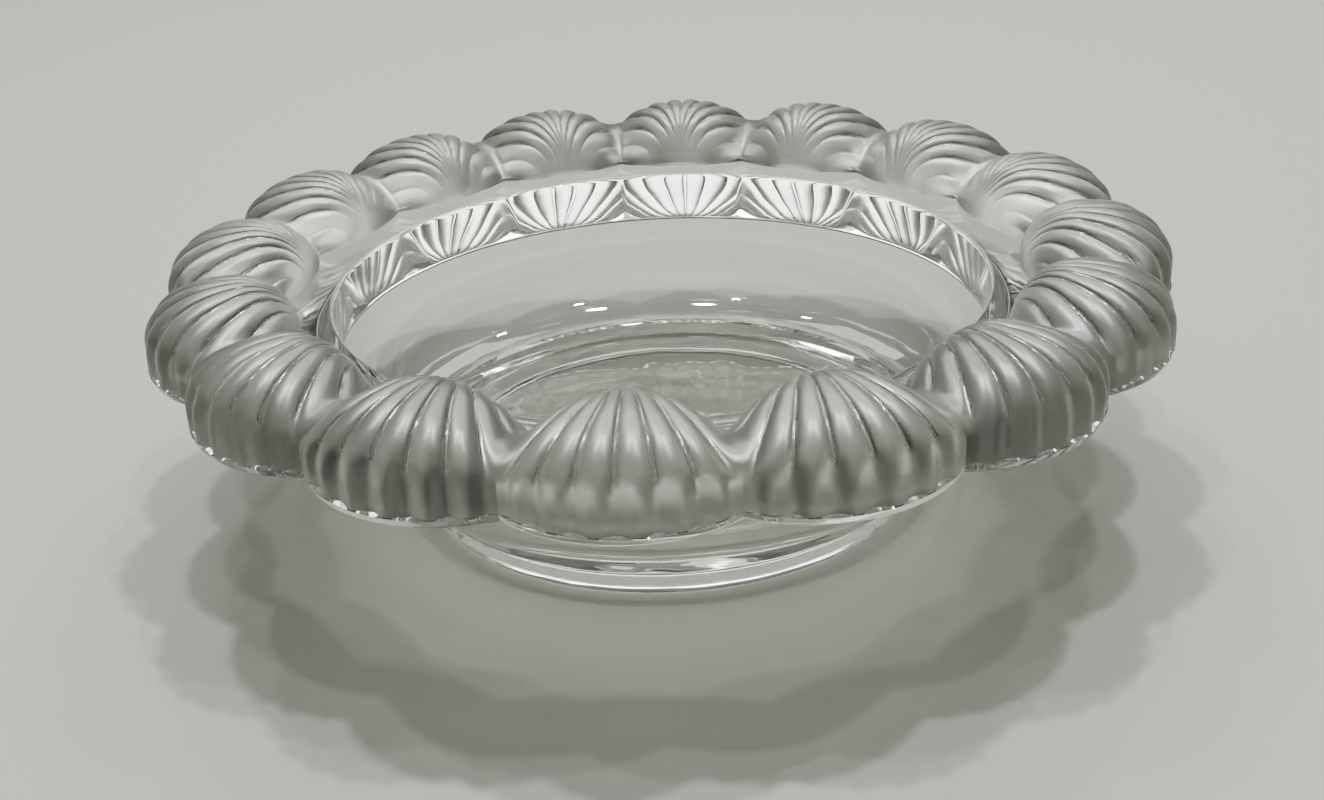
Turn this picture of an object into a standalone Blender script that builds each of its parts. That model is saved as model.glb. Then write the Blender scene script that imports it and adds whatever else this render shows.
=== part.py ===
"""Low footed crystal bowl with sixteen cockle-shell domes standing on its rim.

The bowl is one moulding of glass. It is modelled as its moulded features, parted along the lines where the
form or the finish changes: sixteen satin shells, a clear rim plate, the bowl's wall, its floor and the foot
ring. Units are metres and +Z is up. The origin is the centre of the foot's resting face. Shell 1 points along
-Y, and the numbers run towards +X.
"""

from math import atan2, cos, pi, radians, sin, sqrt, tan

import bmesh
import bpy
import numpy as np

# Driving dimensions.
SHELL_COUNT = 16
OVERALL_RADIUS = 0.1500  # belly of a shell's outer wall
CUSP_RADIUS = 0.1411  # outer corner between two shells
LIP_RADIUS = 0.1072  # a shell's inner edge, on the rim
CROWN_RADIUS = 0.1237  # highest point of a shell
SHELL_TOP = 0.0826
RIM_TOP = 0.0642
RIM_EDGE = 0.0585  # lower corner of the rim's outer edge
RIM_BEVEL = 0.0010  # how far that corner is drawn in
THROAT_RADIUS = 0.0977  # inner edge of the rim's flat top
THROAT_TAPER = 0.0010  # how far the throat narrows over the rim's depth
THROAT_FOOT = 0.0452  # height where the rim's underside meets the bowl's wall
UNDER_STEEP = radians(30)  # slope of that underside at the wall. It flattens towards the edge
UNDER_ROWS = 7  # flat bands that make up its curve
WALL_AT_THROAT = 0.0061  # thickness of the bowl's wall at that height
FOOT_RADIUS = 0.0773
FOOT_FLARE = 0.0036  # how far the foot's upper edge stands out past its base
FOOT_HEIGHT = 0.0137
FOOT_FACE_WIDTH = 0.0116  # of the flat ring that the bowl stands on
RECESS_SLOPE = 0.0008
FLOOR_RADIUS = 0.0611
FLOOR_TOP = 0.0155
BASE_RECESS = 0.0035  # how far the floor's underside stands clear of the table
JOINT_GAP = 0.0003  # between pieces that touch

# A shell's form.
GROOVE_PITCH = radians(12.5)  # angle between grooves at the fan's focus
GROOVES_EACH_SIDE = 6
FAN_FOCUS = 0.1047
LIP_BOW = 8.5  # how the inner edge bows, per metre of half width
SIDE_REACH = 0.0298  # half width at the crown at which a shell's arched section comes down to the rim
SIDE_SPREAD = 0.45  # how much that half width grows for each metre outwards
SIDE_POWER = 2.3  # how round the top of that arched section is
SHOULDER = 0.88  # share of the way from the crown to the outer edge where the wall turns down
CROWN_FALL = 0.52  # share of the height lost over that way, before the wall
GROOVE_RATIO = 0.15  # groove depth for its pitch
FLUTE_RATIO = 0.2  # what is left of a groove at the foot of the wall
VALLEY_BLEND = 0.0060  # fillet where neighbouring shells run together
VALLEY_SHARE = 1.2  # the fillet is no wider than this times the height left at that place
SHOULDER_BLEND = 0.1  # how softly the crown turns into the wall, as a share of the height
LAST_GROOVE_START = 0.75  # where the outermost groove leaves the lip, as a share of the half width
LIP_FADE = 0.2  # share of the way from lip to wall over which the grooves reach their depth
FOOT_BAND = 0.0012  # upright edge at a shell's base

HALF_SECTOR = pi / SHELL_COUNT
HALF_CHORD = CUSP_RADIUS * sin(HALF_SECTOR)
LOBE_RISE = OVERALL_RADIUS - CUSP_RADIUS * cos(HALF_SECTOR)
LOBE_RADIUS = (HALF_CHORD**2 + LOBE_RISE**2) / (2 * LOBE_RISE)
LOBE_CENTRE = OVERALL_RADIUS - LOBE_RADIUS
CROWN_SHARE = (CROWN_RADIUS - LIP_RADIUS) / (OVERALL_RADIUS - LIP_RADIUS)
DOME_HEIGHT = SHELL_TOP - RIM_TOP - FOOT_BAND
WALL_INSIDE = THROAT_RADIUS - THROAT_TAPER
WALL_OUTSIDE = WALL_INSIDE + WALL_AT_THROAT

# The bowl's curve: powers of a quarter circle, and below 1 is fuller.
INSIDE_REACH_POWER = 0.85
INSIDE_DROP_POWER = 0.95

# How finely the pieces are cut.
WALL_ROWS = 7
INNER_ROWS = 4
OUTER_ROWS = (0.28, 0.55, 0.76, SHOULDER, 0.945, 1.0)
LOBE_STEPS = 8
RING_STEPS = 72
GROOVE_SHARP = radians(18)  # a fold sharper than this reads as an edge, so the grooves stay crisp
RING_SHARP = radians(35)


def clear_scene():
    for obj in list(bpy.data.objects):
        bpy.data.objects.remove(obj, do_unlink=True)


def glass(name, colour, roughness):
    """A clear or satin glass, with its tint and how rough its surface is."""
    material = bpy.data.materials.new(name)
    material.use_nodes = True
    shader = material.node_tree.nodes["Principled BSDF"]
    shader.inputs["Base Color"].default_value = (*colour, 1.0)
    shader.inputs["Roughness"].default_value = roughness
    shader.inputs["Metallic"].default_value = 0.0
    shader.inputs["IOR"].default_value = 1.52
    shader.inputs["Transmission Weight"].default_value = 1.0
    return material


def add_piece(name, mesh, material, group):
    if not mesh.materials:
        mesh.materials.append(material)
    piece = bpy.data.objects.new(name, mesh)
    group.objects.link(piece)
    return piece


def outer_edge(across):
    """Radial distance of a shell's outer edge, at a distance across from its middle line."""
    return LOBE_CENTRE + np.sqrt(np.maximum(LOBE_RADIUS**2 - across**2, 0.0))


def inner_edge(across):
    return LIP_RADIUS + LIP_BOW * across**2


def smooth_lower(first, second, blend):
    """The lower of two heights, with the corner between them rounded."""
    near = np.maximum(blend - np.abs(first - second), 0.0)
    return np.minimum(first, second) - near**2 / (4 * blend)


def arch(along, across):
    """Height of one shell above its base, without grooves and without its neighbours."""
    start = inner_edge(across)
    share = np.clip((along - start) / (outer_edge(across) - start), 0.0, 1.0)
    rise = np.sqrt(np.maximum(1 - (1 - share / CROWN_SHARE) ** 2, 0.0))
    out = np.maximum((share - CROWN_SHARE) / (1 - CROWN_SHARE), 0.0)
    wall_slope = (1 - CROWN_FALL * SHOULDER**2) / (1 - SHOULDER)
    fall = smooth_lower(1 - CROWN_FALL * out**2, wall_slope * (1 - out), SHOULDER_BLEND)
    profile = np.where(share < CROWN_SHARE, rise, np.maximum(fall, 0.0))
    side_share = np.abs(across) / (SIDE_REACH + SIDE_SPREAD * (along - CROWN_RADIUS))
    return DOME_HEIGHT * profile * (1 - side_share**SIDE_POWER)


def dome(along, across):
    """Height of the ring of shells above its base: a shell and its mirror image, filleted together."""
    turn = 2 * HALF_SECTOR
    beside_along = along * cos(turn) + np.abs(across) * sin(turn)
    beside_across = along * sin(turn) - np.abs(across) * cos(turn)
    own = arch(along, across)
    beside = arch(beside_along, beside_across)
    blend = np.clip(VALLEY_SHARE * (own + beside) / 2, 1e-6, VALLEY_BLEND)
    near = np.maximum(blend - np.abs(own - beside), 0.0)
    return np.maximum(np.maximum(own, beside) + near**2 / (4 * blend), 0.0)


def fan_line(line, way):
    """Plan position on a line of the fan: line counts grooves from the middle, way runs from lip to wall."""
    angle = line * GROOVE_PITCH
    spread = line / (GROOVES_EACH_SIDE + 0.5)
    start_across = HALF_CHORD * LAST_GROOVE_START * spread**3
    offset = LOBE_CENTRE - FAN_FOCUS
    reach = offset * np.cos(angle) + np.sqrt(LOBE_RADIUS**2 - (offset * np.sin(angle)) ** 2)
    end_along = FAN_FOCUS + reach * np.cos(angle)
    end_across = reach * np.sin(angle)
    start_along = inner_edge(start_across)
    return start_along + (end_along - start_along) * way, start_across + (end_across - start_across) * way


def shell_point(line, way, groove):
    """A point of the shell's surface. groove is 1 on a groove's line and 0 on a rib's crest."""

    def base_point(line, way):
        along, across = fan_line(line, way)
        return np.array((along, across, RIM_TOP + FOOT_BAND + dome(along, across)))

    step = 1e-3
    here = base_point(line, way)
    towards_wall = base_point(line, min(way + step, 1.0)) - base_point(line, max(way - step, 0.0))
    beside = base_point(line + step, way) - base_point(line - step, way)
    normal = np.cross(towards_wall, beside)
    normal /= np.linalg.norm(normal) + 1e-12
    pitch = np.linalg.norm(np.subtract(fan_line(line + 0.5, way), fan_line(line - 0.5, way)))
    wall_share = np.clip((way - SHOULDER) / (1 - SHOULDER), 0.0, 1.0)
    lip_share = np.clip(way / LIP_FADE, 0.0, 1.0)
    depth = GROOVE_RATIO * pitch * lip_share * (1 - (1 - FLUTE_RATIO) * wall_share)
    moved = here - normal * depth * groove
    moved[2] = max(moved[2], RIM_TOP + FOOT_BAND)
    return moved


def shell_mesh():
    """One shell, pointing along +X: a ribbed sheet cut along its valleys and closed down to the rim."""
    ways = [CROWN_SHARE * (1 - cos(pi / 2 * row / INNER_ROWS)) for row in range(INNER_ROWS + 1)]
    ways += [CROWN_SHARE + (1 - CROWN_SHARE) * share for share in OUTER_ROWS]
    columns = 4 * GROOVES_EACH_SIDE + 3
    lines = [(column - columns // 2) / 2 for column in range(columns)]
    sheet = bmesh.new()
    bmesh.ops.create_grid(sheet, x_segments=len(ways) - 1, y_segments=columns - 1, size=0.5)
    for vert in sheet.verts:
        row = round((vert.co.x + 0.5) * (len(ways) - 1))
        column = round((vert.co.y + 0.5) * (columns - 1))
        line = lines[column]
        vert.co = shell_point(line, ways[row], 1.0 if line == int(line) else 0.0)
    bmesh.ops.remove_doubles(sheet, verts=sheet.verts, dist=1e-5)
    for side in (-1, 1):
        normal = (-sin(HALF_SECTOR), side * cos(HALF_SECTOR), 0)
        edge = np.array(normal) * -JOINT_GAP / 2
        geometry = sheet.verts[:] + sheet.edges[:] + sheet.faces[:]
        bmesh.ops.bisect_plane(sheet, geom=geometry, plane_co=edge, plane_no=normal, clear_outer=True)
    top = sheet.faces[:]
    result = bmesh.ops.extrude_face_region(sheet, geom=top)
    for item in result["geom"]:
        if isinstance(item, bmesh.types.BMVert):
            item.co.z = RIM_TOP + JOINT_GAP
    floor_faces = [item for item in result["geom"] if isinstance(item, bmesh.types.BMFace)]
    bmesh.ops.dissolve_faces(sheet, faces=floor_faces, use_verts=False)
    bmesh.ops.recalc_face_normals(sheet, faces=sheet.faces)
    mesh = bpy.data.meshes.new("shell")
    sheet.to_mesh(mesh)
    sheet.free()
    mesh.shade_smooth()
    mesh.set_sharp_from_angle(angle=GROOVE_SHARP)
    return mesh


def turned(name, profile, steps):
    """A mesh turned about the axis from a closed (radius, height) outline that runs down its outer side."""
    outline = bpy.data.meshes.new(name + "_outline")
    ring = bmesh.new()
    verts = [ring.verts.new((radius, 0.0, height)) for radius, height in profile]
    for first, second in zip(verts, verts[1:] + verts[:1]):
        ring.edges.new((first, second))
    ring.to_mesh(outline)
    ring.free()
    guide = bpy.data.objects.new(name + "_guide", outline)
    bpy.context.scene.collection.objects.link(guide)
    screw = guide.modifiers.new("turn", "SCREW")
    screw.steps = steps
    screw.render_steps = steps
    screw.use_merge_vertices = True
    screw.merge_threshold = 0.00001
    graph = bpy.context.evaluated_depsgraph_get()
    mesh = bpy.data.meshes.new_from_object(guide.evaluated_get(graph))
    mesh.name = name
    bpy.data.objects.remove(guide, do_unlink=True)
    return mesh


def lobed_radius(angle):
    """Radius of the scalloped edge at an angle about the axis."""
    sector = 2 * HALF_SECTOR
    off = (angle + pi / 2 + HALF_SECTOR) % sector - HALF_SECTOR
    return LOBE_CENTRE * cos(off) + sqrt(LOBE_RADIUS**2 - (LOBE_CENTRE * sin(off)) ** 2)


def bowl_inside():
    """Inside of the bowl, from the throat down to the floor, as (radius, height) points on a smooth curve."""
    bottom = FLOOR_RADIUS + JOINT_GAP
    top = THROAT_FOOT - JOINT_GAP
    points = []
    for step in range(WALL_ROWS + 1):
        swing = pi / 2 * step / WALL_ROWS
        radius = bottom + (WALL_INSIDE - bottom) * max(cos(swing), 0.0) ** INSIDE_REACH_POWER
        height = FLOOR_TOP + (top - FLOOR_TOP) * (1 - sin(swing) ** INSIDE_DROP_POWER)
        points.append((radius, height))
    return points


def bowl_outside():
    """Outside of the bowl, from the foot up to the rim's underside."""
    bottom = FOOT_HEIGHT + JOINT_GAP
    top = THROAT_FOOT - JOINT_GAP
    points = []
    for step in range(WALL_ROWS + 1):
        swing = pi / 2 * step / WALL_ROWS
        radius = FOOT_RADIUS + (WALL_OUTSIDE - FOOT_RADIUS) * sin(swing)
        height = bottom + (top - bottom) * (1 - cos(swing))
        points.append((radius, height))
    return points


def rim_underside():
    """The rim's underside, from its outer corner in to the bowl's wall, as (radius, height) on a curve."""
    run, rise = OVERALL_RADIUS - RIM_BEVEL - WALL_OUTSIDE, RIM_EDGE - THROAT_FOOT
    steep = run * tan(UNDER_STEEP)
    ways = [1 - row / UNDER_ROWS for row in range(UNDER_ROWS + 1)]
    return [(WALL_OUTSIDE + run * way, THROAT_FOOT + steep * way - (steep - rise) * way**2) for way in ways]


def rim_plate_mesh():
    """The rim: flat on top, curved below, and drawn in between the shells to its scalloped edge."""
    profile = [
        (THROAT_RADIUS, RIM_TOP),
        (OVERALL_RADIUS, RIM_TOP),
        *rim_underside(),
        (WALL_INSIDE, THROAT_FOOT),
    ]
    mesh = turned("rim_plate", profile, SHELL_COUNT * LOBE_STEPS)
    for vert in mesh.vertices:
        radius = sqrt(vert.co.x**2 + vert.co.y**2)
        share = max(radius - WALL_OUTSIDE, 0.0) / (OVERALL_RADIUS - WALL_OUTSIDE)
        drawn_in = OVERALL_RADIUS - lobed_radius(atan2(vert.co.y, vert.co.x))
        scale = 1 - share * drawn_in / radius
        vert.co.x *= scale
        vert.co.y *= scale
    return mesh


def finish_turned(mesh):
    mesh.shade_smooth()
    mesh.set_sharp_from_angle(angle=RING_SHARP)
    return mesh


def build():
    clear_scene()
    group = bpy.data.collections.new("footed_shell_bowl")
    bpy.context.scene.collection.children.link(group)
    satin = glass("satin_etched_crystal", (0.86, 0.87, 0.85), 0.35)
    clear = glass("polished_crystal", (0.96, 0.97, 0.96), 0.02)

    shell = shell_mesh()
    for number in range(SHELL_COUNT):
        piece = add_piece(f"shell_{number + 1:02d}", shell, satin, group)
        piece.rotation_euler = (0, 0, -pi / 2 + 2 * HALF_SECTOR * number)

    add_piece("rim_plate", finish_turned(rim_plate_mesh()), clear, group)

    wall_heel = (FLOOR_RADIUS + JOINT_GAP, FOOT_HEIGHT + JOINT_GAP)
    wall_profile = bowl_outside()[::-1] + [wall_heel] + bowl_inside()[::-1]
    add_piece("bowl_wall", finish_turned(turned("bowl_wall", wall_profile, RING_STEPS)), clear, group)

    foot_profile = [
        (FOOT_RADIUS + FOOT_FLARE, FOOT_HEIGHT),
        (FOOT_RADIUS, 0.0),
        (FOOT_RADIUS - FOOT_FACE_WIDTH, 0.0),
        (FOOT_RADIUS - FOOT_FACE_WIDTH - RECESS_SLOPE, BASE_RECESS),
        (FLOOR_RADIUS + JOINT_GAP, BASE_RECESS),
        (FLOOR_RADIUS + JOINT_GAP, FOOT_HEIGHT),
    ]
    add_piece("foot_ring", finish_turned(turned("foot_ring", foot_profile, RING_STEPS)), clear, group)

    disc = bmesh.new()
    thickness = FLOOR_TOP - BASE_RECESS
    bmesh.ops.create_cone(
        disc, cap_ends=True, segments=RING_STEPS, radius1=FLOOR_RADIUS, radius2=FLOOR_RADIUS, depth=thickness
    )
    bmesh.ops.translate(disc, verts=disc.verts, vec=(0, 0, BASE_RECESS + thickness / 2))
    floor = bpy.data.meshes.new("bowl_floor")
    disc.to_mesh(floor)
    disc.free()
    add_piece("bowl_floor", finish_turned(floor), clear, group)


build()
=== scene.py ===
"""Low footed crystal bowl: sixteen satin cockle shells on a clear polished rim, over a clear pressed bowl.

The pieces fit without gaps. Where two of them meet, both faces let light straight through, so that the whole
bowl bends light as the one solid moulding it is.
"""

from math import cos, pi, radians, sin, sqrt, tan

import bpy
import numpy as np
from mathutils import Matrix, Vector


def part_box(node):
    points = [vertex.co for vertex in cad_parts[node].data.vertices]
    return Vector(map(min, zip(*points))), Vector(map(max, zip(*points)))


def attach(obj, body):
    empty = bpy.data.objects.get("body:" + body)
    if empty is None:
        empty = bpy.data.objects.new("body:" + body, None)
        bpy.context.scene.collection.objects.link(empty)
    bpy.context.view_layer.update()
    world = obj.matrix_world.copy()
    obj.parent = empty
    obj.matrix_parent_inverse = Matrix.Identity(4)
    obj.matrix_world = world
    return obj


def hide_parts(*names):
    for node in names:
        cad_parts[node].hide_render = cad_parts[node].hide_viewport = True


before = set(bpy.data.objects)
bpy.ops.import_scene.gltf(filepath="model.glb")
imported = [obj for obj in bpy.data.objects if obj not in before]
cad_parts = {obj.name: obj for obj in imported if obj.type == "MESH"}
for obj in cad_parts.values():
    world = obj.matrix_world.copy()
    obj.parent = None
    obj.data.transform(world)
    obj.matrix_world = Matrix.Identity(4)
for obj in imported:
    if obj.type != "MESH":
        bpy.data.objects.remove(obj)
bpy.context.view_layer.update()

# ---------------------------------------------------------------- sizes, in metres

SHELL_COUNT = 16
HALF_SECTOR = pi / SHELL_COUNT
FIRST_SHELL = -pi / 2

rim_low, rim_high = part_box("rim_plate")
foot_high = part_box("foot_ring")[1]
floor_low, floor_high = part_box("bowl_floor")

OVERALL_RADIUS = rim_high.x  # belly of a shell's outer wall
CUSP_RADIUS = 0.1411  # outer corner between two shells
LIP_RADIUS = 0.1072  # a shell's inner edge, on the rim
CROWN_RADIUS = 0.1237  # highest line of a shell
CREST_DROP = 0.00003  # the smooth form peaks in a groove, and the ribs beside it stand this much lower
SHELL_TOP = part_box("shell_01")[1].z + CREST_DROP
RIM_TOP = rim_high.z
RIM_EDGE = 0.0585  # lower corner of the rim's outer edge
RIM_BEVEL = 0.0010  # how far that corner is drawn in
RIM_ROUND = 0.0006  # its radius
SATIN_FOOT = 0.0610  # the etch ends here, on the rim's edge
LEDGE = 0.0003  # height of the small step under the etch, where the flutes end
THROAT_RADIUS = 0.0977  # inner edge of the rim's flat top
THROAT_ROUND = 0.0012  # radius of that edge
THROAT_TAPER = 0.0010  # how far the throat narrows over the rim's depth
THROAT_FOOT = rim_low.z
WALL_AT_THROAT = 0.0061  # thickness of the bowl's wall at that height
WALL_INSIDE = THROAT_RADIUS - THROAT_TAPER
WALL_OUTSIDE = WALL_INSIDE + WALL_AT_THROAT
UNDER_FILLET = 0.0020  # between the bowl's wall and the rim's underside
UNDER_STEEP = 27  # slope of that underside at the fillet, in degrees. It flattens towards the edge
INSIDE_REACH_POWER, INSIDE_DROP_POWER = 0.85, 0.95  # how the bowl's inside curves down to the floor
FOOT_TOP_RADIUS = foot_high.x
FOOT_FLARE = 0.0036  # how far the foot's upper edge stands out past its base
FOOT_RADIUS = FOOT_TOP_RADIUS - FOOT_FLARE
FOOT_HEIGHT = foot_high.z
FOOT_FACE = 0.0116  # width of the flat ring that the bowl stands on
FOOT_ROUND = 0.0009  # radius of the foot's outer edges
STAND_ROUND = 0.0007  # of the inner edge of that flat ring, and
RECESS_ROUND = 0.0008  # of the corner where the recess's side meets the floor
RECESS_SLOPE = 0.0008  # how far that side leans in
FLOOR_RADIUS = floor_high.x
FLOOR_TOP = floor_high.z
BASE_RECESS = floor_low.z
SHELL_SHARP, TURNED_SHARP = radians(60), radians(34)  # an edge that turns by more than this stays crisp

# A shell's form.
GROOVE_PITCH = radians(12.5)  # angle between grooves at the fan's focus
LAST_LINE = 6.5  # fan lines run from -6.5 to 6.5, with a groove on each whole number
FAN_FOCUS = 0.1047  # the fan's lines point at the place this far from the axis
LIP_BOW = 8.5  # how the inner edge bows, per metre of half width
SIDE_REACH = 0.0298  # half width at the crown at which the arched section comes down to the rim
SIDE_SPREAD = 0.45  # how much that half width grows for each metre outwards
SIDE_POWER = 2.3  # how round the top of its arched section is
CROWN_POWER = 2.3  # how the shell's back falls from its crown, and then
WALL_POWER = 0.45  # how upright its outer wall stands
VALLEY_BLEND = 0.0060  # fillet where neighbouring shells run together
VALLEY_SHARE = 1.2  # the fillet is no wider than this times the height left at that place
FOOT_BAND = 0.0012  # upright edge at a shell's base
GROOVE_DEPTH = 0.23  # of the distance between two grooves
CREASE_SHARE = 0.36  # part of that depth that is the fine crease along the bottom
CREASE_POWER = 9.0  # how narrow the crease is
FLUTE_DEPTH = 0.16  # of the same distance, on the outer wall
SHOULDER_START, SHOULDER_END = 0.87, 0.98  # grooves turn to flutes here, from 0 at the crown to 1 at the edge
LIP_FADE_START, LIP_FADE_END = -0.65, -0.35  # grooves rise to their depth here, inside the crown
SEAM_FADE = 0.0045  # grooves and flutes rise to their depth over this distance from a seam

# How finely the pieces are drawn.
STEPS_PER_PITCH = 14  # points from one groove to the next
LIP_ROWS, BACK_ROWS, WALL_ROWS = 30, 30, 40  # rows up a shell's inner side, over its back and down its wall
WALL_START = 0.80  # the wall's closer rows begin here, from 0 at the crown to 1 at the edge
HALVINGS = 40  # that find where a fan line meets a seam
NUDGE = 1e-4  # shift along the fan that gives the way the surface faces
SAME_LINE = 1e-9  # places nearer than this along a row are one
LEAST_BLEND, LEAST_LENGTH = 1e-6, 1e-15  # they keep two formulas from dividing by nothing
EDGE_STEPS = 48  # points along the rim for each shell
ROUND_STEPS = 384  # points round the wall, the foot and the floor
BOWL_STEPS = 40  # points down the bowl's wall
UNDER_STEPS, FILLET_STEPS = 24, 8  # points across the rim's underside and its fillet

HALF_CHORD = CUSP_RADIUS * sin(HALF_SECTOR)
LOBE_RISE = OVERALL_RADIUS - CUSP_RADIUS * cos(HALF_SECTOR)
LOBE_RADIUS = (HALF_CHORD**2 + LOBE_RISE**2) / (2 * LOBE_RISE)
LOBE_CENTRE = OVERALL_RADIUS - LOBE_RADIUS
CROWN_SHARE = (CROWN_RADIUS - LIP_RADIUS) / (OVERALL_RADIUS - LIP_RADIUS)
DOME_HEIGHT = SHELL_TOP - RIM_TOP - FOOT_BAND


def lip_corner():
    """Half width of a shell's lip, where it meets the next shell's lip."""
    slope = tan(HALF_SECTOR)
    return (1 - sqrt(1 - 4 * LIP_BOW * slope**2 * LIP_RADIUS)) / (2 * LIP_BOW * slope)


LIP_HALF = lip_corner()

# ---------------------------------------------------------------- nodes and materials


def linear(hex_colour):
    """A hex sRGB colour as linear red, green, blue and 1."""
    values = [int(hex_colour[i : i + 2], 16) / 255 for i in (1, 3, 5)]
    return (*[v / 12.92 if v <= 0.04045 else ((v + 0.055) / 1.055) ** 2.4 for v in values], 1.0)


def add(tree, kind, inputs=None, **settings):
    """Adds a node with its settings and links. An input takes a plain value, a socket that feeds it, or a
    node, which stands for its first output."""
    node = tree.nodes.new(kind)
    for name, value in settings.items():
        setattr(node, name, value)
    for key, value in (inputs or {}).items():
        if isinstance(value, bpy.types.Node):
            value = value.outputs[0]
        if isinstance(value, bpy.types.NodeSocket):
            tree.links.new(value, node.inputs[key])
        else:
            node.inputs[key].default_value = value
    return node


def new_material(name):
    material = bpy.data.materials.new(name)
    material.use_nodes = True
    material.node_tree.nodes.clear()
    return material


def lamp_through(tree, shader, shade):
    """Ends the material in a glass that lamps and the light off other surfaces cross without bending, and
    that tints them by shade."""
    path = add(tree, "ShaderNodeLightPath").outputs
    clear = add(tree, "ShaderNodeBsdfTransparent", {"Color": linear(shade)})
    lamps = add(tree, "ShaderNodeMixShader", {0: path["Is Shadow Ray"], 1: shader, 2: clear})
    bounced = add(tree, "ShaderNodeMixShader", {0: path["Is Diffuse Ray"], 1: lamps, 2: clear})
    add(tree, "ShaderNodeOutputMaterial", {"Surface": bounced})


CRYSTAL_IOR = 1.54  # pressed crystal bends light a little more than window glass
TOOTH_GRAIN = 0.0007  # the real tooth is some hundredths of a millimetre: it is drawn coarser, to show
SATIN_SWELL = 0.011  # from one slow swell of the etched skin to the next
POLISH_SWELL = 0.018  # the same on the polished skin


def satin_etched_crystal():
    """Pressed crystal dipped in acid: the bath leaves a fine even tooth, so the shells glow softly and blur
    what lies behind them. The groove bottoms keep some of the mould's polish and catch thin bright lines."""
    material = new_material("satin_etched_crystal")
    tree = material.node_tree
    place = add(tree, "ShaderNodeTexCoord")
    groove = add(tree, "ShaderNodeAttribute", attribute_name="groove")
    polish = add(
        tree,
        "ShaderNodeMapRange",
        {"Value": groove.outputs["Fac"], "From Min": 0.55, "From Max": 1.0, "To Min": 0.34, "To Max": 0.07},
    )
    tooth = add(
        tree,
        "ShaderNodeTexNoise",
        {"Vector": place.outputs["Object"], "Scale": 1 / TOOTH_GRAIN, "Detail": 3.0},
    )
    flow = add(
        tree,
        "ShaderNodeTexNoise",
        {"Vector": place.outputs["Object"], "Scale": 1 / SATIN_SWELL, "Detail": 1.0},
    )
    fine = add(
        tree,
        "ShaderNodeBump",
        {"Height": tooth.outputs["Fac"], "Strength": 0.10, "Distance": 0.0002},
    )
    soft = add(
        tree,
        "ShaderNodeBump",
        {
            "Height": flow.outputs["Fac"],
            "Strength": 0.25,
            "Distance": 0.0012,
            "Normal": fine.outputs["Normal"],
        },
    )
    glass = add(
        tree,
        "ShaderNodeBsdfPrincipled",
        {
            "Base Color": linear("#9c9c96"),
            "Roughness": polish.outputs["Result"],
            "IOR": CRYSTAL_IOR,
            "Transmission Weight": 0.86,
            "Normal": soft.outputs["Normal"],
        },
    )
    lamp_through(tree, glass, "#828280")
    return material


def polished_crystal():
    """Pressed crystal, fire-polished: a melted, mirror-smooth skin with the slow swell that the mould and the
    flame leave, which bends the lines seen through it."""
    material = new_material("polished_crystal")
    tree = material.node_tree
    place = add(tree, "ShaderNodeTexCoord")
    ripple = add(
        tree,
        "ShaderNodeTexNoise",
        {"Vector": place.outputs["Object"], "Scale": 1 / POLISH_SWELL, "Detail": 1.0},
    )
    wave = add(
        tree,
        "ShaderNodeBump",
        {"Height": ripple.outputs["Fac"], "Strength": 0.2, "Distance": 0.001},
    )
    glass = add(
        tree,
        "ShaderNodeBsdfPrincipled",
        {
            "Base Color": linear("#f8f9f7"),
            "Roughness": 0.015,
            "IOR": CRYSTAL_IOR,
            "Transmission Weight": 1.0,
            "Normal": wave.outputs["Normal"],
        },
    )
    lamp_through(tree, glass, "#d0d0cc")
    return material


def crystal_within():
    """The inside of the solid glass, where two pieces of the one moulding meet: nothing shows there."""
    material = new_material("crystal_within")
    tree = material.node_tree
    clear = add(tree, "ShaderNodeBsdfTransparent", {"Color": linear("#ffffff")})
    add(tree, "ShaderNodeOutputMaterial", {"Surface": clear})
    return material


def pale_floor():
    """Honed pale stone: matt, with a faint broad sheen."""
    material = new_material("honed_pale_floor")
    tree = material.node_tree
    stone = add(
        tree,
        "ShaderNodeBsdfPrincipled",
        {"Base Color": linear("#8f8f8a"), "Roughness": 0.55, "Specular IOR Level": 0.3},
    )
    add(tree, "ShaderNodeOutputMaterial", {"Surface": stone})
    return material


SATIN = satin_etched_crystal()
POLISHED = polished_crystal()
WITHIN = crystal_within()
SATIN_FACE, CLEAR_FACE, WITHIN_FACE = 0, 1, 2
FINISHES = (SATIN, POLISHED, WITHIN)

# ---------------------------------------------------------------- a shell's smooth form


def outer_edge(across):
    return LOBE_CENTRE + np.sqrt(np.maximum(LOBE_RADIUS**2 - across**2, 0.0))


def inner_edge(across):
    return LIP_RADIUS + LIP_BOW * across**2


def share_out(along, across):
    """Share of the way from lip to outer edge."""
    start = inner_edge(across)
    return np.clip((along - start) / (outer_edge(across) - start), 0.0, 1.0)


def arch(along, across):
    """Height of one shell above its base, without grooves and without its neighbours."""
    share = share_out(along, across)
    rise = np.sqrt(np.maximum(1 - (1 - share / CROWN_SHARE) ** 2, 0.0))
    out = np.maximum((share - CROWN_SHARE) / (1 - CROWN_SHARE), 0.0)
    fall = np.maximum(1 - out**CROWN_POWER, 0.0) ** WALL_POWER
    profile = np.where(share < CROWN_SHARE, rise, fall)
    side_share = np.abs(across) / (SIDE_REACH + SIDE_SPREAD * (along - CROWN_RADIUS))
    return DOME_HEIGHT * profile * (1 - side_share**SIDE_POWER)


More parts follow.
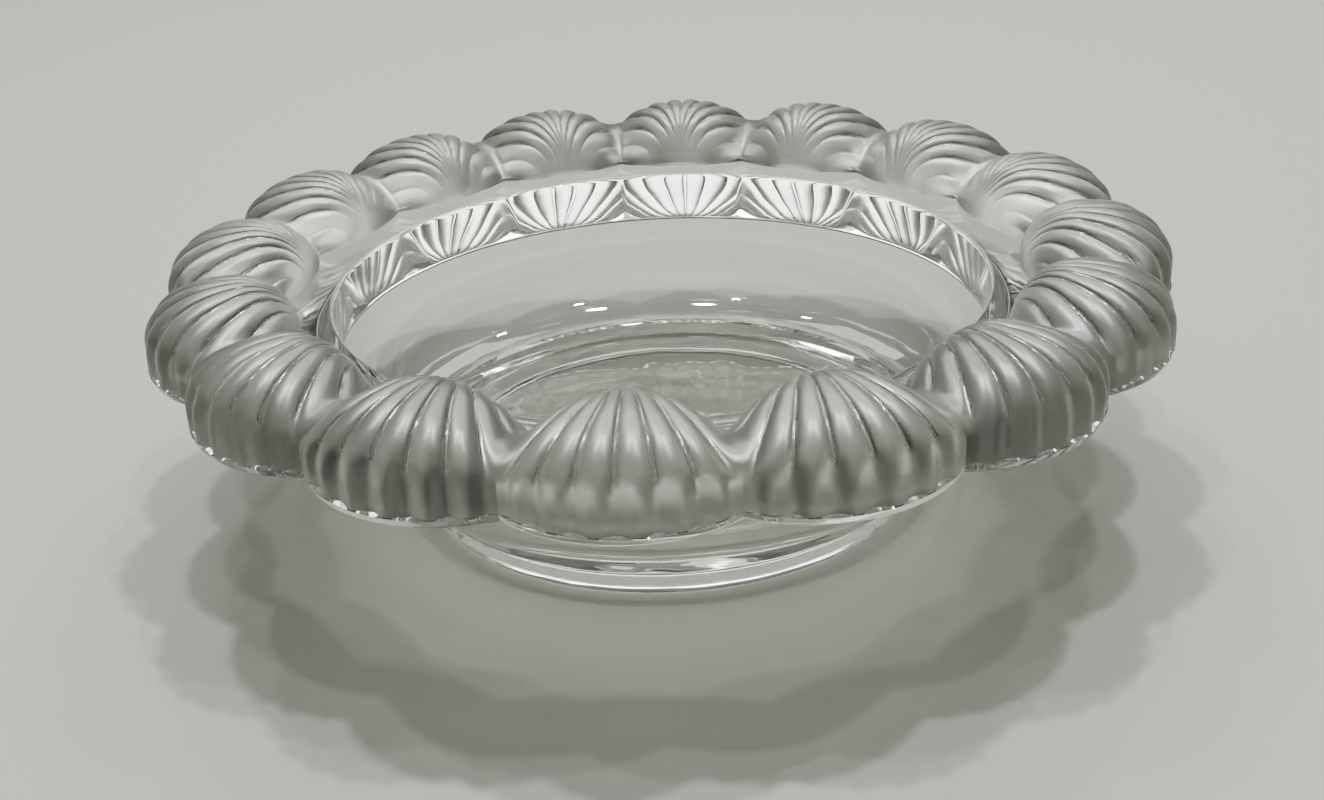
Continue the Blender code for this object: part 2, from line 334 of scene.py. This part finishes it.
def dome(along, across):
    """Height of the ring of shells: a shell and its mirror image, filleted together."""
    turn = 2 * HALF_SECTOR
    own = arch(along, across)
    beside = arch(
        along * cos(turn) + np.abs(across) * sin(turn), along * sin(turn) - np.abs(across) * cos(turn)
    )
    blend = np.clip(VALLEY_SHARE * (own + beside) / 2, LEAST_BLEND, VALLEY_BLEND)
    near = np.maximum(blend - np.abs(own - beside), 0.0)
    return np.maximum(np.maximum(own, beside) + near**2 / (4 * blend), 0.0)


def fan_plan(line, way):
    """Plan position on a line of the fan: line counts grooves from the middle, way runs from lip to wall."""
    angle = line * GROOVE_PITCH
    start_across = LIP_HALF * (line / LAST_LINE) ** 3
    offset = LOBE_CENTRE - FAN_FOCUS
    reach = offset * np.cos(angle) + np.sqrt(LOBE_RADIUS**2 - (offset * np.sin(angle)) ** 2)
    start_along = inner_edge(start_across)
    along = start_along + (FAN_FOCUS + reach * np.cos(angle) - start_along) * way
    across = start_across + (reach * np.sin(angle) - start_across) * way
    return along, across


def dome_point(line, way):
    along, across = fan_plan(line, way)
    return np.stack((along, across, RIM_TOP + FOOT_BAND + dome(along, across)), axis=-1)


def seam_line(way):
    """The line of the fan that meets the plane between two shells, at each way."""
    low, high = np.zeros_like(way), np.full_like(way, LAST_LINE)
    for _ in range(HALVINGS):
        middle = (low + high) / 2
        along, across = fan_plan(middle, way)
        beyond = across > along * tan(HALF_SECTOR)
        low, high = np.where(beyond, low, middle), np.where(beyond, middle, high)
    return (low + high) / 2


def shell_ways():
    """How far out each row of the sheet lies, closer together where the form turns."""
    up = CROWN_SHARE * (1 - np.cos(np.linspace(0, pi / 2, LIP_ROWS)))
    over = CROWN_SHARE + (1 - CROWN_SHARE) * np.linspace(0, WALL_START, BACK_ROWS)[1:]
    down = CROWN_SHARE + (1 - CROWN_SHARE) * np.linspace(WALL_START, 1.0, WALL_ROWS)[1:]
    return np.concatenate((up, over, down))


def shell_sheet():
    """The smooth upper skin of a shell along +X: the number of the point at each place of a grid, then each
    point's position and what its grooves need to know. A row's places past the seam share one point."""
    ways = shell_ways()
    lines = np.linspace(-LAST_LINE, LAST_LINE, int(2 * LAST_LINE * STEPS_PER_PITCH) + 1)
    limit = seam_line(ways)
    line = np.clip(lines[None, :], -limit[:, None], limit[:, None])
    way = np.repeat(ways[:, None], len(lines), axis=1)
    points = dome_point(line, way)
    outwards = dome_point(line, np.minimum(way + NUDGE, 1)) - dome_point(line, np.maximum(way - NUDGE, 0))
    sideways = dome_point(line + NUDGE, way) - dome_point(line - NUDGE, way)
    normal = np.cross(outwards, sideways)
    normal /= np.linalg.norm(normal, axis=-1, keepdims=True) + LEAST_LENGTH
    apart = np.subtract(fan_plan(line + 0.5, way), fan_plan(line - 0.5, way))
    along, across = points[..., 0], points[..., 1]
    values = {
        "co": points,
        "line": line,
        "out": (share_out(along, across) - CROWN_SHARE) / (1 - CROWN_SHARE),
        "pitch": np.linalg.norm(apart, axis=0),
        "seam": (along * sin(HALF_SECTOR) - np.abs(across) * cos(HALF_SECTOR)).clip(0),
        "away": normal,
    }
    first = np.concatenate((np.ones((len(ways), 1), bool), np.diff(line, axis=1) > SAME_LINE), axis=1)
    index = (np.cumsum(first) - 1).reshape(first.shape)
    return index, {name: value[first] for name, value in values.items()}


def sheet_faces(index):
    """The sheet's faces, as lists of point numbers. Beside a seam some have three corners or vanish."""
    quads = np.stack((index[:-1, :-1], index[1:, :-1], index[1:, 1:], index[:-1, 1:]), -1)
    faces = [[c for i, c in enumerate(quad) if c != quad[i - 1]] for quad in quads.reshape(-1, 4).tolist()]
    return [face for face in faces if len(face) >= 3]


def once_each(numbers):
    """The numbers in order, without those that repeat the one before."""
    return [number for place, number in enumerate(numbers) if place == 0 or number != numbers[place - 1]]


def sheet_border(index):
    """Points round the sheet's edge, and the finish of the side face below each. A seam lies in the glass."""
    lip, foot = once_each(index[0].tolist()), once_each(index[-1].tolist())
    right, left = index[:, -1].tolist(), index[:, 0].tolist()
    border = lip[:-1] + right[:-1] + foot[:0:-1] + left[:0:-1]
    seam = [WITHIN_FACE] * (len(index) - 1)
    return border, [SATIN_FACE] * (len(lip) - 1) + seam + [SATIN_FACE] * (len(foot) - 1) + seam


MEASURES = ("line", "out", "pitch", "seam")  # what a point of the form stores as a plain number


def shell_form():
    """One smooth shell along +X, closed down to the rim, with what its grooves need stored at each point."""
    index, top = shell_sheet()
    faces = sheet_faces(index)
    border, side_kinds = sheet_border(index)
    kinds = [SATIN_FACE] * len(faces) + side_kinds + [WITHIN_FACE]
    count = len(top["co"])
    for number, point in enumerate(border):
        after = (number + 1) % len(border)
        faces.append([point, border[after], count + after, count + number])
    faces.append([count + number for number in range(len(border))])

    # The base has a point below each of the border's. The grooves move it with that point, but not down.
    whole = {name: np.concatenate((value, value[border])).astype(np.float32) for name, value in top.items()}
    whole["co"][count:, 2] = RIM_TOP
    whole["away"][count:, 2] = 0
    mesh = bpy.data.meshes.new("shell_form")
    mesh.from_pydata(whole["co"].tolist(), [], faces)
    mesh.materials.append(SATIN)
    mesh.materials.append(WITHIN)
    for name in MEASURES:
        mesh.attributes.new(name, "FLOAT", "POINT").data.foreach_set("value", whole[name])
    mesh.attributes.new("away", "FLOAT_VECTOR", "POINT").data.foreach_set("vector", whole["away"].ravel())
    mesh.attributes.new("finish", "INT", "FACE").data.foreach_set("value", np.array(kinds, np.int32))
    mark_edges(mesh, kinds, SHELL_SHARP)
    return mesh


def mark_edges(mesh, kinds, most):
    """Smooth faces, with sharp edges where the finish changes or the form turns by more than most."""
    mesh.shade_smooth()
    mesh.update()
    normals = np.empty(len(mesh.polygons) * 3)
    mesh.polygons.foreach_get("normal", normals)
    normals = normals.reshape(-1, 3)
    edge_of = np.empty(len(mesh.loops), np.int64)
    mesh.loops.foreach_get("edge_index", edge_of)
    totals = np.empty(len(mesh.polygons), np.int64)
    mesh.polygons.foreach_get("loop_total", totals)
    face_of = np.repeat(np.arange(len(mesh.polygons)), totals)
    order = np.argsort(edge_of, kind="stable")
    pairs = face_of[order].reshape(-1, 2)
    kinds = np.array(kinds)
    bent = (normals[pairs[:, 0]] * normals[pairs[:, 1]]).sum(1) < cos(most)
    sharp = bent | (kinds[pairs[:, 0]] != kinds[pairs[:, 1]])
    mesh.attributes.new("sharp_edge", "BOOLEAN", "EDGE").data.foreach_set("value", sharp)


# ---------------------------------------------------------------- grooves and places, by geometry nodes


MATH, RANGE, STORED = "ShaderNodeMath", "ShaderNodeMapRange", "GeometryNodeInputNamedAttribute"


def shell_tree():
    """Cuts the fan of grooves into the smooth form, turns it to its place and gives each face its finish."""
    tree = bpy.data.node_groups.new("grooved_shell", "GeometryNodeTree")
    sockets = {}
    tree.interface.new_socket("Geometry", in_out="INPUT", socket_type="NodeSocketGeometry")
    for name, value in (
        ("Groove depth, of its pitch", GROOVE_DEPTH),
        ("Flute depth, of its pitch", FLUTE_DEPTH),
        ("Shoulder start", SHOULDER_START),
        ("Shoulder end", SHOULDER_END),
        ("Lip fade start", LIP_FADE_START),
        ("Lip fade end", LIP_FADE_END),
        ("Seam fade", SEAM_FADE),
        ("Turn", 0.0),
    ):
        socket = tree.interface.new_socket(name, in_out="INPUT", socket_type="NodeSocketFloat")
        socket.default_value = value
        sockets[name] = socket.identifier
    tree.interface.new_socket("Geometry", in_out="OUTPUT", socket_type="NodeSocketGeometry")
    size = add(tree, "NodeGroupInput").outputs

    # What the smooth form stored at each point.
    line = add(tree, STORED, {"Name": "line"}, data_type="FLOAT")
    out = add(tree, STORED, {"Name": "out"}, data_type="FLOAT")
    pitch = add(tree, STORED, {"Name": "pitch"}, data_type="FLOAT")
    to_seam = add(tree, STORED, {"Name": "seam"}, data_type="FLOAT")
    away = add(tree, STORED, {"Name": "away"}, data_type="FLOAT_VECTOR")
    finish = add(tree, STORED, {"Name": "finish"}, data_type="INT")

    # Across a groove, from 1 at its bottom to 0 on the rib's crest: a round hollow with a fine crease along
    # it, and the softer wave of a flute.
    nearest_line = add(tree, MATH, {0: line}, operation="ROUND")
    beside = add(tree, MATH, {0: line, 1: nearest_line}, operation="SUBTRACT")
    apart = add(tree, MATH, {0: beside}, operation="ABSOLUTE")
    inward = add(tree, MATH, {0: apart, 1: -2.0, 2: 1.0}, operation="MULTIPLY_ADD")
    hollow = add(tree, MATH, {0: inward, 1: 2.0}, operation="POWER")
    crease = add(tree, MATH, {0: inward, 1: CREASE_POWER}, operation="POWER")
    hollow_part = add(tree, MATH, {0: hollow, 1: 1 - CREASE_SHARE}, operation="MULTIPLY")
    cut = add(tree, MATH, {0: crease, 1: CREASE_SHARE, 2: hollow_part}, operation="MULTIPLY_ADD")
    swing = add(tree, MATH, {0: line, 1: 2 * pi}, operation="MULTIPLY")
    wave = add(tree, MATH, {0: swing}, operation="COSINE")
    flute = add(tree, MATH, {0: wave, 1: 0.5, 2: 0.5}, operation="MULTIPLY_ADD")

    # Past the shoulder the grooves widen into soft flutes. Both die away at the lip and at the seams.
    past = add(
        tree,
        RANGE,
        {"Value": out, "From Min": size["Shoulder start"], "From Max": size["Shoulder end"]},
        interpolation_type="SMOOTHSTEP",
    )
    lip = add(
        tree,
        RANGE,
        {"Value": out, "From Min": size["Lip fade start"], "From Max": size["Lip fade end"]},
        interpolation_type="SMOOTHSTEP",
    )
    seam = add(
        tree,
        RANGE,
        {"Value": to_seam, "From Min": 0.0, "From Max": size["Seam fade"]},
        interpolation_type="SMOOTHSTEP",
    )
    before = add(tree, MATH, {0: 1.0, 1: past}, operation="SUBTRACT")
    groove_size = add(tree, MATH, {0: before, 1: size["Groove depth, of its pitch"]}, operation="MULTIPLY")
    flute_size = add(tree, MATH, {0: past, 1: size["Flute depth, of its pitch"]}, operation="MULTIPLY")
    flute_part = add(tree, MATH, {0: flute, 1: flute_size}, operation="MULTIPLY")
    depth = add(tree, MATH, {0: cut, 1: groove_size, 2: flute_part}, operation="MULTIPLY_ADD")
    share = add(tree, MATH, {0: lip, 1: seam}, operation="MULTIPLY")
    scale = add(tree, MATH, {0: share, 1: pitch}, operation="MULTIPLY")
    drop = add(tree, MATH, {0: depth, 1: scale}, operation="MULTIPLY")
    inwards = add(tree, MATH, {0: drop, 1: -1.0}, operation="MULTIPLY")
    offset = add(tree, "ShaderNodeVectorMath", {0: away, "Scale": inwards}, operation="SCALE")
    moved = add(tree, "GeometryNodeSetPosition", {"Geometry": size["Geometry"], "Offset": offset})

    # How much of a groove's bottom a point is, for the satin's polish.
    bottom = add(tree, MATH, {0: hollow, 1: before}, operation="MULTIPLY")
    polish = add(tree, MATH, {0: bottom, 1: share}, operation="MULTIPLY")
    noted = add(
        tree,
        "GeometryNodeStoreNamedAttribute",
        {"Geometry": moved, "Name": "groove", "Value": polish},
        data_type="FLOAT",
        domain="POINT",
    )
    whole = add(tree, "GeometryNodeGeometryToInstance", {"Geometry": noted})
    spin = add(tree, "ShaderNodeCombineXYZ", {"Z": size["Turn"]})
    turned = add(
        tree,
        "GeometryNodeRotateInstances",
        {"Instances": whole, "Rotation": spin, "Local Space": False},
    )
    flow = add(tree, "GeometryNodeRealizeInstances", {"Geometry": turned})
    for kind, material in ((SATIN_FACE, SATIN), (WITHIN_FACE, WITHIN)):
        chosen = add(tree, "FunctionNodeCompare", {2: finish, 3: kind}, data_type="INT", operation="EQUAL")
        flow = add(
            tree, "GeometryNodeSetMaterial", {"Geometry": flow, "Selection": chosen, "Material": material}
        )
    add(tree, "NodeGroupOutput", {0: flow})
    return tree, sockets


def add_piece(name, mesh, slot, *nodes):
    piece = bpy.data.objects.new(name, mesh)
    bpy.context.scene.collection.objects.link(piece)
    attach(piece, "root")
    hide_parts(*nodes)


def build_shells():
    form = shell_form()
    tree, sockets = shell_tree()
    for number in range(SHELL_COUNT):
        guide = bpy.data.objects.new("guide", form)
        bpy.context.scene.collection.objects.link(guide)
        modifier = guide.modifiers.new("grooves", "NODES")
        modifier.node_group = tree
        modifier[sockets["Turn"]] = FIRST_SHELL + 2 * HALF_SECTOR * number
        graph = bpy.context.evaluated_depsgraph_get()
        mesh = bpy.data.meshes.new_from_object(
            guide.evaluated_get(graph), preserve_all_data_layers=True, depsgraph=graph
        )
        bpy.data.objects.remove(guide, do_unlink=True)
        mesh.name = f"satin_shell_{number + 1:02d}"
        for name in (*MEASURES, "away", "finish"):
            mesh.attributes.remove(mesh.attributes[name])
        add_piece(mesh.name, mesh, "frosted_glass", f"shell_{number + 1:02d}")


# ---------------------------------------------------------------- the clear pieces, turned about the axis


def arc(centre, radius, start, end, steps):
    """Points of a rounded corner, from angle start to end in degrees."""
    return [
        (centre[0] + radius * cos(radians(a)), centre[1] + radius * sin(radians(a)))
        for a in np.linspace(start, end, steps)
    ]


def rounded(points, radii, steps=7):
    """The outline with each corner that has a radius rounded off. points are (radius, height)."""
    made = []
    for number, (corner, radius) in enumerate(zip(points, radii)):
        here = Vector(corner)
        before = Vector(points[number - 1]) - here
        after = Vector(points[(number + 1) % len(points)]) - here
        if radius == 0:
            made.append(tuple(here))
            continue
        half = before.angle(after) / 2
        reach = radius / tan(half)
        first, last = here + before.normalized() * reach, here + after.normalized() * reach
        middle = here + (before.normalized() + after.normalized()).normalized() * (radius / sin(half))
        start, end = first - middle, last - middle
        swing = start.angle_signed(end)
        for step in range(steps + 1):
            turn = -swing * step / steps
            c, s = cos(turn), sin(turn)
            made.append(tuple(middle + Vector((start.x * c - start.y * s, start.x * s + start.y * c))))
    return made


def round_plan(angles, radii):
    return np.stack((radii * np.cos(angles)[:, None], radii * np.sin(angles)[:, None]), -1)


def turned(name, outline, within, steps, plan_at=None, satin=()):
    """A closed outline of (radius, height) turned about the axis. within numbers the stretches of the
    outline whose faces lie inside the glass, and satin those that are etched. plan_at gives each point its
    place in plan, where that isn't a plain circle."""
    angles = np.arange(steps) * 2 * pi / steps
    flat = np.array(outline)
    if plan_at is None:
        ring = round_plan(angles, np.repeat(flat[:, 0][None, :], steps, 0))
    else:
        ring = plan_at(angles, flat)
    heights = np.repeat(flat[:, 1][None, :], steps, 0)[..., None]
    points = np.concatenate((ring, heights), -1).reshape(-1, 3)
    count = len(outline)
    place = np.arange(steps * count).reshape(steps, count)
    after, along = np.roll(place, -1, 0), np.roll(place, -1, 1)
    both = np.roll(after, -1, 1)
    quads = np.stack((place, after, both, along), -1)
    kinds = np.full((steps, count), CLEAR_FACE)
    kinds[:, within] = WITHIN_FACE
    kinds[:, list(satin)] = SATIN_FACE
    mesh = bpy.data.meshes.new(name)
    mesh.from_pydata(points.tolist(), [], quads.reshape(-1, 4).tolist())
    mesh.update()
    if signed_volume(mesh) < 0:
        mesh.flip_normals()
    finish_faces(mesh, kinds.reshape(-1))
    return mesh


def finish_faces(mesh, kinds):
    """Gives each face its finish. A mesh has slots only for the finishes it shows."""
    shown, slots = np.unique(kinds, return_inverse=True)
    for kind in shown:
        mesh.materials.append(FINISHES[kind])
    mesh.polygons.foreach_set("material_index", slots.reshape(-1).astype(np.int32))
    mark_edges(mesh, kinds, TURNED_SHARP)


def signed_volume(mesh):
    mesh.calc_loop_triangles()
    co = np.array([v.co for v in mesh.vertices])
    corners = np.array([t.vertices for t in mesh.loop_triangles])
    return np.linalg.det(co[corners]).sum() / 6


def nearest(outline, point):
    gaps = [(r - point[0]) ** 2 + (z - point[1]) ** 2 for r, z in outline]
    return gaps.index(min(gaps))


def span(outline, start, end):
    """Numbers of the outline's stretches from the point nearest start to the one nearest end."""
    first, last = nearest(outline, start), nearest(outline, end)
    found = []
    while first != last:
        found.append(first)
        first = (first + 1) % len(outline)
    return found


def sector_angle(angles):
    """Angle from the middle line of the nearest shell."""
    sector = 2 * HALF_SECTOR
    return (angles - FIRST_SHELL + HALF_SECTOR) % sector - HALF_SECTOR


def lobed_radius(angles):
    off = sector_angle(angles)
    return LOBE_CENTRE * np.cos(off) + np.sqrt(LOBE_RADIUS**2 - (LOBE_CENTRE * np.sin(off)) ** 2)


def lip_radius(angles):
    slope = np.tan(np.abs(sector_angle(angles)))
    along = 2 * LIP_RADIUS / (1 + np.sqrt(1 - 4 * LIP_BOW * slope**2 * LIP_RADIUS))
    return along * np.sqrt(1 + slope**2)


def flute_cut(angles):
    """How far the flutes of the shells cut into the rim's edge, as a shift in plan at each angle."""
    off, lobe = sector_angle(angles), lobed_radius(angles)
    along, across = lobe * np.cos(off), lobe * np.abs(np.sin(off))
    line = np.arctan2(across, along - FAN_FOCUS) / GROOVE_PITCH
    pitch = np.hypot(*np.subtract(fan_plan(line + 0.5, 1.0), fan_plan(line - 0.5, 1.0)))
    flute = (np.cos(2 * pi * line) + 1) / 2
    seam = np.clip((along * sin(HALF_SECTOR) - across * cos(HALF_SECTOR)) / SEAM_FADE, 0, 1)
    depth = FLUTE_DEPTH * pitch * flute * seam**2 * (3 - 2 * seam)
    lean = np.arctan2(lobe * np.sin(off), along - LOBE_CENTRE) + angles - off
    return -depth[:, None] * np.stack((np.cos(lean), np.sin(lean)), -1)


def rim_underside():
    """The rim's underside from its edge in to the bowl's wall, as (radius, height): a curve and a fillet."""
    centre = (WALL_OUTSIDE + UNDER_FILLET, THROAT_FOOT)
    fillet = arc(centre, UNDER_FILLET, 90 + UNDER_STEEP, 180, FILLET_STEPS)
    start, height = fillet[0]
    run, rise = OVERALL_RADIUS - RIM_BEVEL - start, RIM_EDGE - height
    steep = run * tan(radians(UNDER_STEEP))
    ways = np.linspace(1, 0, UNDER_STEPS)
    return [(start + run * t, height + steep * t - (steep - rise) * t**2) for t in ways[:-1]] + fillet


def rim_plan(angles, outline):
    """Where the rim's outline lies in plan at each angle. It is drawn in between the shells, has a line along
    their inner edges, and is fluted like them as far down as the etch."""
    radii, heights = np.repeat(outline[:, 0][None, :], len(angles), 0), outline[:, 1]
    inside = WALL_OUTSIDE + UNDER_FILLET
    drawn_in = (lobed_radius(angles) - OVERALL_RADIUS)[:, None]
    radii += np.maximum(radii - inside, 0.0) * drawn_in / (OVERALL_RADIUS - inside)
    radii[:, nearest(outline, (LIP_RADIUS, RIM_TOP))] = lip_radius(angles)
    plan = round_plan(angles, radii)
    fluted = (outline[:, 0] > OVERALL_RADIUS - RIM_BEVEL / 2) & (heights > SATIN_FOOT - LEDGE / 2)
    plan[:, fluted] += flute_cut(angles)[:, None]
    return plan


def rim_mesh():
    """The clear plate under the shells: flat on top, curved below, scalloped, with a rounded throat."""
    below = rim_underside()
    corners = [
        (THROAT_RADIUS, RIM_TOP),
        (LIP_RADIUS, RIM_TOP),
        (OVERALL_RADIUS, RIM_TOP),
        (OVERALL_RADIUS, SATIN_FOOT),
        (OVERALL_RADIUS, SATIN_FOOT - LEDGE),
        *below,
        (WALL_INSIDE, THROAT_FOOT),
    ]
    outline = rounded(corners, (THROAT_ROUND, *[0] * 4, RIM_ROUND, *[0] * len(below)))
    within = span(outline, (LIP_RADIUS, RIM_TOP), (OVERALL_RADIUS, RIM_TOP))
    within += span(outline, (WALL_OUTSIDE, THROAT_FOOT), (WALL_INSIDE, THROAT_FOOT))
    satin = span(outline, (OVERALL_RADIUS, RIM_TOP), (OVERALL_RADIUS, SATIN_FOOT))
    return turned("rim_plate", outline, within, SHELL_COUNT * EDGE_STEPS, rim_plan, satin)


def wall_mesh():
    """The bowl's wall, between the rim and the floor, thicker towards its heel."""
    outside, inside = [], []
    for swing in np.linspace(0, pi / 2, BOWL_STEPS + 1):
        out = FOOT_RADIUS + (WALL_OUTSIDE - FOOT_RADIUS) * sin(swing)
        outside.append((out, FOOT_HEIGHT + (THROAT_FOOT - FOOT_HEIGHT) * (1 - cos(swing))))
        reach = max(cos(swing), 0.0) ** INSIDE_REACH_POWER
        left = 1 - sin(swing) ** INSIDE_DROP_POWER
        radius = FLOOR_RADIUS + (WALL_INSIDE - FLOOR_RADIUS) * reach
        inside.append((radius, FLOOR_TOP + (THROAT_FOOT - FLOOR_TOP) * left))
    heel = (FLOOR_RADIUS, FOOT_HEIGHT)
    outline = outside[::-1] + [heel] + inside[::-1]
    within = span(outline, outside[0], heel) + span(outline, heel, inside[-1])
    within += span(outline, inside[0], outside[-1])
    return turned("bowl_wall", outline, within, ROUND_STEPS)


def foot_mesh():
    """The foot ring: flared, flat underneath, with its outer and lower edges melted round."""
    stand_inside = FOOT_RADIUS - FOOT_FACE
    corners = [
        (FOOT_RADIUS, FOOT_HEIGHT),
        (FOOT_TOP_RADIUS, FOOT_HEIGHT),
        (FOOT_RADIUS, 0.0),
        (stand_inside, 0.0),
        (stand_inside - RECESS_SLOPE, BASE_RECESS),
        (FLOOR_RADIUS, BASE_RECESS),
        (FLOOR_RADIUS, FOOT_HEIGHT),
    ]
    outline = rounded(corners, (0, FOOT_ROUND, FOOT_ROUND, STAND_ROUND, RECESS_ROUND, 0, 0))
    within = span(outline, (FLOOR_RADIUS, BASE_RECESS), (FLOOR_RADIUS, FOOT_HEIGHT))
    within += span(outline, (FLOOR_RADIUS, FOOT_HEIGHT), (FOOT_RADIUS, FOOT_HEIGHT))
    return turned("foot_ring", outline, within, ROUND_STEPS)


def floor_mesh():
    """The bowl's flat floor: a plain disc of glass."""
    steps = ROUND_STEPS
    circle = [(cos(2 * pi * n / steps), sin(2 * pi * n / steps)) for n in range(steps)]
    points = [(FLOOR_RADIUS * x, FLOOR_RADIUS * y, z) for z in (BASE_RECESS, FLOOR_TOP) for x, y in circle]
    faces = [list(range(steps))[::-1], [steps + n for n in range(steps)]]
    faces += [[n, (n + 1) % steps, steps + (n + 1) % steps, steps + n] for n in range(steps)]
    mesh = bpy.data.meshes.new("bowl_floor")
    mesh.from_pydata(points, [], faces)
    finish_faces(mesh, [CLEAR_FACE] * 2 + [WITHIN_FACE] * steps)
    return mesh


def build_clear_pieces():
    for name, mesh in (
        ("rim_plate", rim_mesh()),
        ("bowl_wall", wall_mesh()),
        ("foot_ring", foot_mesh()),
        ("bowl_floor", floor_mesh()),
    ):
        add_piece("clear_" + name, mesh, "clear_glass", name)


# ---------------------------------------------------------------- floor, light and camera


FLOOR_LEVEL = -0.0002  # a film of air stays under the foot, so the glass mirrors there as glass does
FLOOR_HALF = 6.0  # half the floor's width

# The sky is dim near the horizon, which gives the glass its darker tones, and bright overhead. Each pair
# is the height of a direction, from 0 at the horizon to 1 overhead, and the sky's strength there.
SKY_LOW, SKY_HIGH = (0.45, 0.15), (0.85, 0.95)

# Each lamp's name, place, size and power in watts. A large softbox behind the bowl, and small lamps above it.
LAMPS = (
    ("softbox_behind", (-0.1, 1.6, 1.9), (2.2, 0.9), 32),
    ("lamp_far_left", (-0.60, 0.10, 2.4), (0.08, 0.08), 12),
    ("lamp_left", (-0.30, 0.45, 2.4), (0.12, 0.12), 34),
    ("lamp_right", (0.42, 0.42, 2.4), (0.12, 0.12), 34),
    ("lamp_far_right", (0.75, 0.0, 2.4), (0.08, 0.08), 12),
    ("lamp_back_left", (-0.9, 1.0, 2.3), (0.08, 0.08), 8),
    ("lamp_back_right", (1.0, 1.1, 2.3), (0.08, 0.08), 8),
)
LAMP_AIM = Vector((0, 0, 0.05))

CAMERA_RISE = radians(25.693)  # above the table
CAMERA_ROLL = radians(-2.983)
CAMERA_TURN = radians(5.07)  # about the bowl's axis
CAMERA_AWAY = 7.003 * FOOT_RADIUS  # from the point it looks at
CAMERA_AIM = Vector((-0.0209 * FOOT_RADIUS, 0.59 * FOOT_RADIUS, 0.0))  # that point, on the table
LENS, SENSOR = 42.606, 36  # in mm


def build_floor():
    mesh = bpy.data.meshes.new("floor")
    sides = ((-1, -1), (1, -1), (1, 1), (-1, 1))
    mesh.from_pydata([(x * FLOOR_HALF, y * FLOOR_HALF, FLOOR_LEVEL) for x, y in sides], [], [(0, 1, 2, 3)])
    mesh.materials.append(pale_floor())
    ground = bpy.data.objects.new("floor", mesh)
    bpy.context.scene.collection.objects.link(ground)


def build_sky():
    world = bpy.data.worlds.new("studio")
    bpy.context.scene.world = world
    world.use_nodes = True
    tree = world.node_tree
    tree.nodes.clear()
    place = add(tree, "ShaderNodeTexCoord")
    split = add(tree, "ShaderNodeSeparateXYZ", {0: place.outputs["Generated"]})
    (low, dim), (high, bright) = SKY_LOW, SKY_HIGH
    strength = add(
        tree,
        RANGE,
        {"Value": split.outputs["Z"], "From Min": low, "From Max": high, "To Min": dim, "To Max": bright},
    )
    sky = add(tree, "ShaderNodeBackground", {"Color": linear("#f4f3ef"), "Strength": strength})
    add(tree, "ShaderNodeOutputWorld", {"Surface": sky})


def build_lamps():
    for name, place, (width, height), power in LAMPS:
        data = bpy.data.lights.new(name, "AREA")
        data.shape = "RECTANGLE"
        data.size, data.size_y = width, height
        data.energy = power
        lamp = bpy.data.objects.new(name, data)
        bpy.context.scene.collection.objects.link(lamp)
        lamp.location = place
        lamp.rotation_euler = (LAMP_AIM - Vector(place)).to_track_quat("-Z", "Y").to_euler()


def build_camera():
    back = Vector((0, -cos(CAMERA_RISE), sin(CAMERA_RISE)))
    level = (-back).cross(Vector((0, 0, 1))).normalized()
    upright = level.cross(-back)
    side = cos(CAMERA_ROLL) * level + sin(CAMERA_ROLL) * upright
    top = cos(CAMERA_ROLL) * upright - sin(CAMERA_ROLL) * level
    place = CAMERA_AIM + back * CAMERA_AWAY
    data = bpy.data.cameras.new("camera")
    data.sensor_width, data.lens = SENSOR, LENS
    camera = bpy.data.objects.new("camera", data)
    bpy.context.scene.collection.objects.link(camera)
    turn = Matrix.Rotation(CAMERA_TURN, 4, "Z")
    camera.matrix_world = turn @ Matrix.Translation(place) @ Matrix((side, top, back)).transposed().to_4x4()
    bpy.context.scene.camera = camera


def settle_render():
    scene = bpy.context.scene
    scene.cycles.max_bounces = 24
    scene.cycles.transmission_bounces = 24
    scene.cycles.glossy_bounces = 24
    scene.cycles.transparent_max_bounces = 48
    scene.cycles.sample_clamp_indirect = 8.0
    scene.cycles.use_denoising = True
    scene.view_settings.view_transform = "AgX"
    scene.view_settings.look = "AgX - High Contrast"
    scene.view_settings.exposure = -0.35


build_shells()
build_clear_pieces()
build_floor()
build_sky()
build_lamps()
build_camera()
settle_render()
